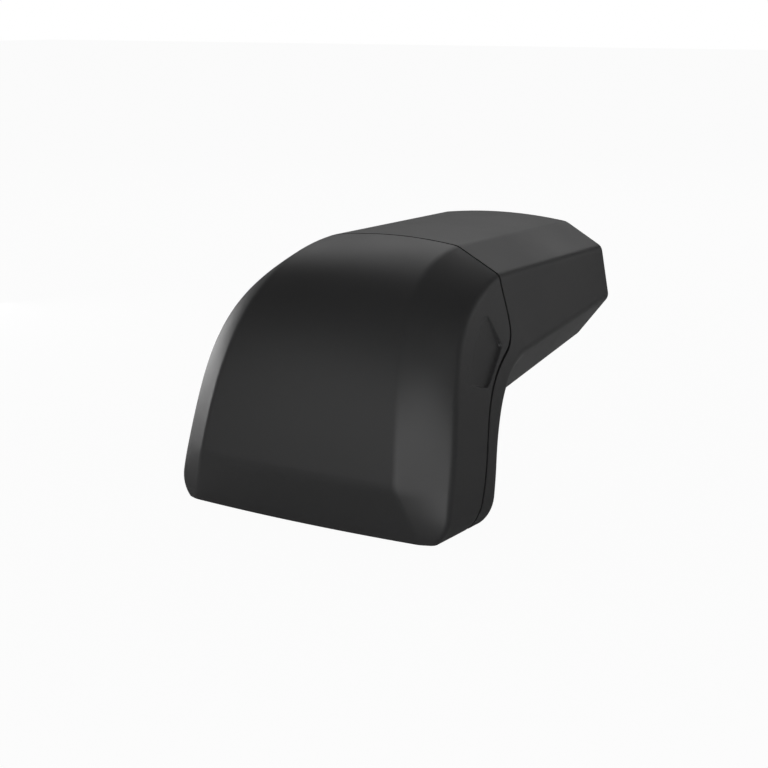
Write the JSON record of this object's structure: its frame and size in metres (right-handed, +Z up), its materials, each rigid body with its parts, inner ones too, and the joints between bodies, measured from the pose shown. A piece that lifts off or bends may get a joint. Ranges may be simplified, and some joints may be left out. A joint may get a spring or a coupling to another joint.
{
  "type": "roof bar foot",
  "caption": "Foot for the end of an aerofoil roof bar: bent moulded shells over a cast tower with a saddle, clamp bolts and a roof bolt bush.",
  "frame": {"origin": "axis of the roof bolt's bore, on the roof under the pad", "axes": "+Z up, away from the roof; +Y inboard along the bar, out of the socket; +X to the right when looking inboard"},
  "size_m": [0.1078, 0.1414, 0.0906],
  "materials": {
    "cover_plastic": "charcoal moulded plastic, fine spark texture",
    "housing_plastic": "charcoal moulded plastic, fine spark texture",
    "cast_aluminium": "die cast, blasted",
    "coated_steel": "black electrocoat",
    "pad_rubber": "moulded rubber",
    "seal_rubber": "soft moulded rubber",
    "zinc_steel": "bright zinc",
    "black_steel": "black zinc",
    "saddle_plastic": "glass-filled nylon"
  },
  "bodies": {
    "foot": {"rear_housing": "housing_plastic", "tower": "cast_aluminium", "base_plate": "coated_steel", "base_pad": "pad_rubber", "bolt_bush": "zinc_steel", "bolt_washer": "zinc_steel", "base_screws": "zinc_steel", "bar_saddle": "saddle_plastic", "saddle_screws": "zinc_steel", "bar_stop": "seal_rubber", "end_gasket": "seal_rubber", "housing_screws": "black_steel", "clamp_washers": "zinc_steel", "upper_grommets": "seal_rubber", "lower_grommets": "seal_rubber"},
    "cover": {"front_cover": "cover_plastic"},
    "outboard_bolt": {"outboard_clamp_bolt": "black_steel"},
    "inboard_bolt": {"inboard_clamp_bolt": "black_steel"},
    "outboard_nut": {"outboard_channel_nut": "zinc_steel"},
    "inboard_nut": {"inboard_channel_nut": "zinc_steel"}
  },
  "joints": [
    {"name": "cover_pull", "type": "slide", "parent": "foot", "child": "cover", "axis": [0, -1, 0], "range_m": [0, 0.08]},
    {"name": "outboard_bolt_turn", "type": "hinge", "parent": "foot", "child": "outboard_bolt", "pos_m": [0, 0.056, 0.044], "axis": [0, 0, -1], "range_deg": [0, 740]},
    {"name": "inboard_bolt_turn", "type": "hinge", "parent": "foot", "child": "inboard_bolt", "pos_m": [0, 0.084, 0.044], "axis": [0, 0, -1], "range_deg": [0, 740]},
    {"name": "outboard_nut_rise", "type": "slide", "parent": "foot", "child": "outboard_nut", "axis": [0, 0, 1], "range_m": [0, 0.002]},
    {"name": "inboard_nut_rise", "type": "slide", "parent": "foot", "child": "inboard_nut", "axis": [0, 0, 1], "range_m": [0, 0.002]}
  ],
  "couplings": [
    {"joint": "outboard_bolt_turn", "follows": "outboard_nut_rise", "rad_per_m": 6283.2},
    {"joint": "inboard_bolt_turn", "follows": "inboard_nut_rise", "rad_per_m": 6283.2}
  ]
}
